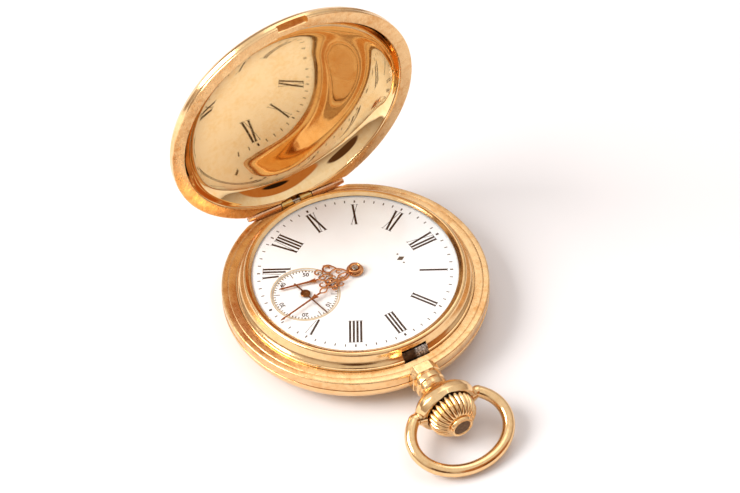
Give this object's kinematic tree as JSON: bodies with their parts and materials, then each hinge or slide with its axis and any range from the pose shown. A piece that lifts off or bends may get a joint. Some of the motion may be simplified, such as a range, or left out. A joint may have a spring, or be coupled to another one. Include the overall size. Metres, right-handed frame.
{
  "type": "pocket watch",
  "caption": "Hunter-case pocket watch with a sprung front lid, fluted crown, bow, white dial with Roman numerals, sunk seconds dial and full movement.",
  "frame": {"origin": "centre of the small flat face on the back cover that the watch rests on, on the axis of the dial", "axes": "+Z out through the dial, +X towards the crown and pendant (3 o'clock), +Y towards 12 o'clock; the lid hinge is on the -X side"},
  "size_m": [0.0758, 0.052, 0.0581],
  "materials": {
    "gold_case": "worn satin gold, polished on the rounds",
    "polished_gold": "mirror-polished gold",
    "rose_gold_hinge": "satin rose gold",
    "worn_steel": "tarnished, matt",
    "steel": "fine brushed",
    "blued_steel": "heat-blued, polished",
    "brass_gilt": "gilt, circular grained",
    "nickel_plate": "nickelled, striped",
    "white_enamel": "fired white enamel, glossy",
    "copper_hands": "copper-gilt, pierced",
    "crystal_glass": "clear thin crystal"
  },
  "bodies": {
    "case": {"case_band": "gold_case", "pendant_neck": "gold_case", "bezel": "gold_case", "crystal": "crystal_glass", "dial": "white_enamel", "seconds_dial": "white_enamel", "band_hinge_tube_left": "rose_gold_hinge", "band_hinge_tube_right": "rose_gold_hinge", "lid_hinge_pin": "steel", "lift_spring": "steel", "back_hinge_pin": "steel", "inner_cover_pin": "steel", "main_plate": "nickel_plate", "barrel_bridge": "nickel_plate", "train_bridge": "nickel_plate", "balance_cock": "nickel_plate", "pallet_cock": "nickel_plate", "barrel_bridge_screw": "blued_steel", "train_bridge_screw": "blued_steel", "cock_screw": "blued_steel", "case_screw": "blued_steel", "crown_wheel_core": "blued_steel", "click_spring": "steel", "hairspring": "blued_steel"},
    "lid": {"front_lid": "polished_gold", "lid_knuckle_left": "gold_case", "lid_knuckle_right": "gold_case"},
    "back": {"back_cover": "gold_case", "back_cover_knuckle": "gold_case"},
    "dust_cover": {"inner_cover": "polished_gold"},
    "bow_ring": {"bow": "gold_case"},
    "sleeve": {"pendant_sleeve": "steel"},
    "crown": {"crown_shell": "gold_case", "crown_cap": "worn_steel", "winding_stem": "steel"},
    "keyless_pinions": {"winding_pinion": "steel", "sliding_pinion": "steel"},
    "crown_wheel_body": {"crown_wheel": "steel"},
    "ratchet": {"ratchet_wheel": "steel", "ratchet_screw": "blued_steel", "barrel_arbor": "steel"},
    "click_pawl": {"click": "steel"},
    "lever": {"setting_lever": "steel"},
    "lid_catch": {"catch_spring": "worn_steel"},
    "seconds_arbor": {"fourth_wheel": "brass_gilt", "seconds_hand": "copper_hands"},
    "third_arbor": {"third_wheel": "brass_gilt"},
    "minute_arbor": {"centre_wheel": "brass_gilt", "cannon_pinion": "steel", "minute_hand": "copper_hands"},
    "hour_pipe": {"hour_wheel": "brass_gilt", "hour_hand": "copper_hands"},
    "minute_work": {"minute_wheel": "brass_gilt"},
    "escape_arbor": {"escape_wheel": "brass_gilt"},
    "mainspring_barrel": {"barrel": "brass_gilt", "barrel_cover": "brass_gilt", "mainspring": "blued_steel"},
    "pallets": {"pallet_fork": "steel"},
    "balance": {"balance_wheel": "brass_gilt"},
    "regulator_index": {"regulator": "steel"}
  },
  "joints": [
    {"name": "lid_hinge", "type": "hinge", "parent": "case", "child": "lid", "pos_m": [-0.0244, 0, 0.00795], "axis": [0, -1, 0], "range_deg": [-86, 0], "stiffness_Nm_per_rad": 0.0023, "springref_deg": 36.67},
    {"name": "back_cover_hinge", "type": "hinge", "parent": "case", "child": "back", "pos_m": [-0.02595, 0, 0.00544], "axis": [0, 1, 0], "range_deg": [0, 100]},
    {"name": "inner_cover_hinge", "type": "hinge", "parent": "case", "child": "dust_cover", "pos_m": [-0.02375, 0, 0.00328], "axis": [0, 1, 0], "range_deg": [0, 80]},
    {"name": "bow_hinge", "type": "hinge", "parent": "case", "child": "bow_ring", "pos_m": [0.0343, 0, 0.00575], "axis": [0, -1, 0], "range_deg": [-70, 109]},
    {"name": "crown_slide", "type": "slide", "parent": "case", "child": "sleeve", "axis": [1, 0, 0], "range_m": [-0.0008, 0.001]},
    {"name": "crown_turn", "type": "hinge", "parent": "sleeve", "child": "crown", "pos_m": [0.035, 0, 0.00575], "axis": [1, 0, 0], "continuous": true},
    {"name": "keyless_pinions_turn", "type": "hinge", "parent": "case", "child": "keyless_pinions", "pos_m": [0.017, 0, 0.00575], "axis": [1, 0, 0], "continuous": true},
    {"name": "crown_wheel_turn", "type": "hinge", "parent": "case", "child": "crown_wheel_body", "pos_m": [0.0135, 0, 0.0035], "axis": [0, 0, 1], "continuous": true},
    {"name": "ratchet_turn", "type": "hinge", "parent": "case", "child": "ratchet", "pos_m": [0.00551, 0.00786, 0.006], "axis": [0, 0, 1], "continuous": true},
    {"name": "click_pivot", "type": "hinge", "parent": "case", "child": "click_pawl", "pos_m": [0.0021, 0.0163, 0.006], "axis": [0, 0, 1], "range_deg": [-8, 0], "stiffness_Nm_per_rad": 0.0001},
    {"name": "setting_lever_pivot", "type": "hinge", "parent": "case", "child": "lever", "pos_m": [0.0187, -0.005, 0.006], "axis": [0, 0, -1], "range_deg": [-12, 15]},
    {"name": "catch_slide", "type": "slide", "parent": "case", "child": "lid_catch", "axis": [1, 0, 0], "range_m": [-0.0006, 0], "stiffness_N_per_m": 400, "springref_m": 0.0006},
    {"name": "seconds_turn", "type": "hinge", "parent": "case", "child": "seconds_arbor", "pos_m": [0.00023, -0.011, 0.006], "axis": [0, 0, -1], "continuous": true},
    {"name": "third_turn", "type": "hinge", "parent": "case", "child": "third_arbor", "pos_m": [0.0037, -0.00617, 0.006], "axis": [0, 0, -1], "continuous": true},
    {"name": "minute_turn", "type": "hinge", "parent": "case", "child": "minute_arbor", "pos_m": [0, 0, 0.006], "axis": [0, 0, -1], "continuous": true},
    {"name": "hour_turn", "type": "hinge", "parent": "case", "child": "hour_pipe", "pos_m": [0, 0, 0.0095], "axis": [0, 0, -1], "continuous": true},
    {"name": "minute_work_turn", "type": "hinge", "parent": "case", "child": "minute_work", "pos_m": [0.00416, 0.0024, 0.006], "axis": [0, 0, -1], "continuous": true},
    {"name": "escape_turn", "type": "hinge", "parent": "case", "child": "escape_arbor", "pos_m": [-0.0046, -0.0076, 0.006], "axis": [0, 0, -1], "continuous": true},
    {"name": "barrel_turn", "type": "hinge", "parent": "case", "child": "mainspring_barrel", "pos_m": [0.00551, 0.00786, 0.006], "axis": [0, 0, -1], "continuous": true},
    {"name": "pallet_rock", "type": "hinge", "parent": "case", "child": "pallets", "pos_m": [-0.0083, -0.005, 0.006], "axis": [0, 0, 1], "range_deg": [-5, 5]},
    {"name": "balance_swing", "type": "hinge", "parent": "case", "child": "balance", "pos_m": [-0.012, -0.0024, 0.006], "axis": [0, 0, 1], "range_deg": [-135, 135], "stiffness_Nm_per_rad": 0.000001},
    {"name": "regulator_index_turn", "type": "hinge", "parent": "case", "child": "regulator_index", "pos_m": [-0.012, -0.0024, 0.0024], "axis": [0, 0, 1], "range_deg": [-12, 12]}
  ],
  "couplings": [
    {"joint": "inner_cover_hinge", "follows": "back_cover_hinge", "ratio": 0.75},
    {"joint": "keyless_pinions_turn", "follows": "crown_turn", "ratio": 1},
    {"joint": "crown_wheel_turn", "follows": "crown_turn", "ratio": 0.46667},
    {"joint": "ratchet_turn", "follows": "crown_turn", "ratio": -0.25926},
    {"joint": "setting_lever_pivot", "follows": "crown_slide", "rad_per_m": 240},
    {"joint": "third_turn", "follows": "seconds_turn", "ratio": -0.13333},
    {"joint": "minute_turn", "follows": "seconds_turn", "ratio": 0.016667},
    {"joint": "hour_turn", "follows": "seconds_turn", "ratio": 0.0013889},
    {"joint": "minute_work_turn", "follows": "seconds_turn", "ratio": -0.0055556},
    {"joint": "escape_turn", "follows": "seconds_turn", "ratio": -10},
    {"joint": "barrel_turn", "follows": "seconds_turn", "ratio": -0.0027778}
  ]
}
